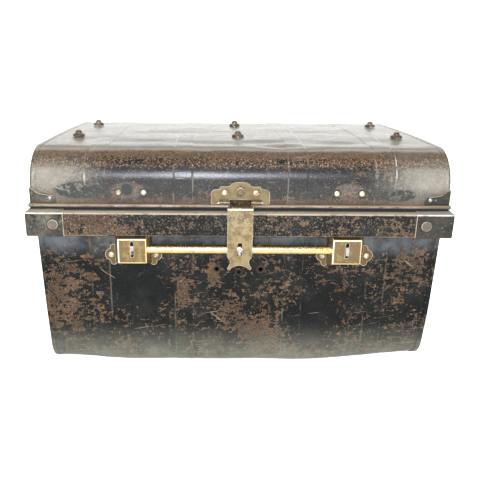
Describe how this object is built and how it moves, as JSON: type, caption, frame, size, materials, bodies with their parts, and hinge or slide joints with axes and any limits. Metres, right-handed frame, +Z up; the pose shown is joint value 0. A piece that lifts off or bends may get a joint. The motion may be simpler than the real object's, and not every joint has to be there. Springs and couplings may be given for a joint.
{
  "type": "travelling trunk",
  "caption": "Rolled-sheet travelling trunk with a round-edged, wire-edged lid, a hollow rim, a hasp over a turning lock bar between lock boxes, rear hinges and drop handles.",
  "frame": {"origin": "on the floor, under the middle of the body", "axes": "+X to the right seen from the front, -Y to the front, +Z up; lid shut, hasp down, lugs level, handles hanging"},
  "size_m": [0.623, 0.4387, 0.358],
  "materials": {
    "japanned_sheet": "black japan, flaked to brown rust",
    "rim_japan": "worn japan, satin",
    "worn_tinplate": "dull tinplate with remains of japan",
    "old_brass": "tarnished, worn bright on the edges",
    "iron": "dark, unfinished",
    "steel": "dull drawn wire",
    "rusty_iron": "rusty with remains of japan",
    "black_iron": "black japan over iron"
  },
  "bodies": {
    "trunk_body": {"body_wrap": "japanned_sheet", "body_end_left": "japanned_sheet", "body_end_right": "japanned_sheet", "rim_channel": "rim_japan", "rim_cap_front_left": "worn_tinplate", "rim_cap_front_right": "worn_tinplate", "rim_cap_rear_left": "worn_tinplate", "rim_cap_rear_right": "worn_tinplate", "rim_cap_rivets": "worn_tinplate", "lock_box_left": "old_brass", "lock_box_right": "old_brass", "lock_box_rivets": "old_brass", "hinge_body_leaf_left": "black_iron", "hinge_body_leaf_right": "black_iron", "hinge_body_rivets": "black_iron", "hinge_pin_left": "steel", "hinge_pin_right": "steel", "handle_eyes_left": "black_iron", "handle_eyes_right": "black_iron", "handle_rivets": "black_iron"},
    "lid": {"lid_wrap": "japanned_sheet", "lid_end_left": "japanned_sheet", "lid_end_right": "japanned_sheet", "lid_rolled_edge": "rim_japan", "lid_edge_wire": "steel", "lid_corner_front_left": "worn_tinplate", "lid_corner_front_right": "worn_tinplate", "lid_corner_rear_left": "worn_tinplate", "lid_corner_rear_right": "worn_tinplate", "lid_corner_rivets": "worn_tinplate", "lid_studs": "rusty_iron", "old_hasp_rivets": "old_brass", "hasp_plate": "old_brass", "hasp_boss": "old_brass", "hasp_plate_rivets": "old_brass", "hasp_pin": "steel", "hinge_lid_leaf_left": "black_iron", "hinge_lid_leaf_right": "black_iron", "hinge_lid_rivets": "black_iron"},
    "hasp": {"hasp_strap": "old_brass"},
    "lock_bar": {"lock_bar_tube": "old_brass", "lock_bar_core": "iron", "lock_bar_lugs": "old_brass"},
    "bail_left": {"handle_bail_left": "black_iron"},
    "bail_right": {"handle_bail_right": "black_iron"}
  },
  "joints": [
    {"name": "lid_hinge", "type": "hinge", "parent": "trunk_body", "child": "lid", "pos_m": [0, 0.21598, 0.2585], "axis": [-1, 0, 0], "range_deg": [0, 105]},
    {"name": "hasp_hinge", "type": "hinge", "parent": "lid", "child": "hasp", "pos_m": [0, -0.20746, 0.27112], "axis": [-1, 0, 0], "range_deg": [0, 105]},
    {"name": "lock_bar_turn", "type": "hinge", "parent": "trunk_body", "child": "lock_bar", "pos_m": [0, -0.2086, 0.201], "axis": [-1, 0, 0], "range_deg": [0, 20]},
    {"name": "bail_left_hinge", "type": "hinge", "parent": "trunk_body", "child": "bail_left", "pos_m": [-0.30244, 0, 0.172], "axis": [0, 1, 0], "range_deg": [0, 150]},
    {"name": "bail_right_hinge", "type": "hinge", "parent": "trunk_body", "child": "bail_right", "pos_m": [0.30244, 0, 0.172], "axis": [0, -1, 0], "range_deg": [0, 150]}
  ]
}
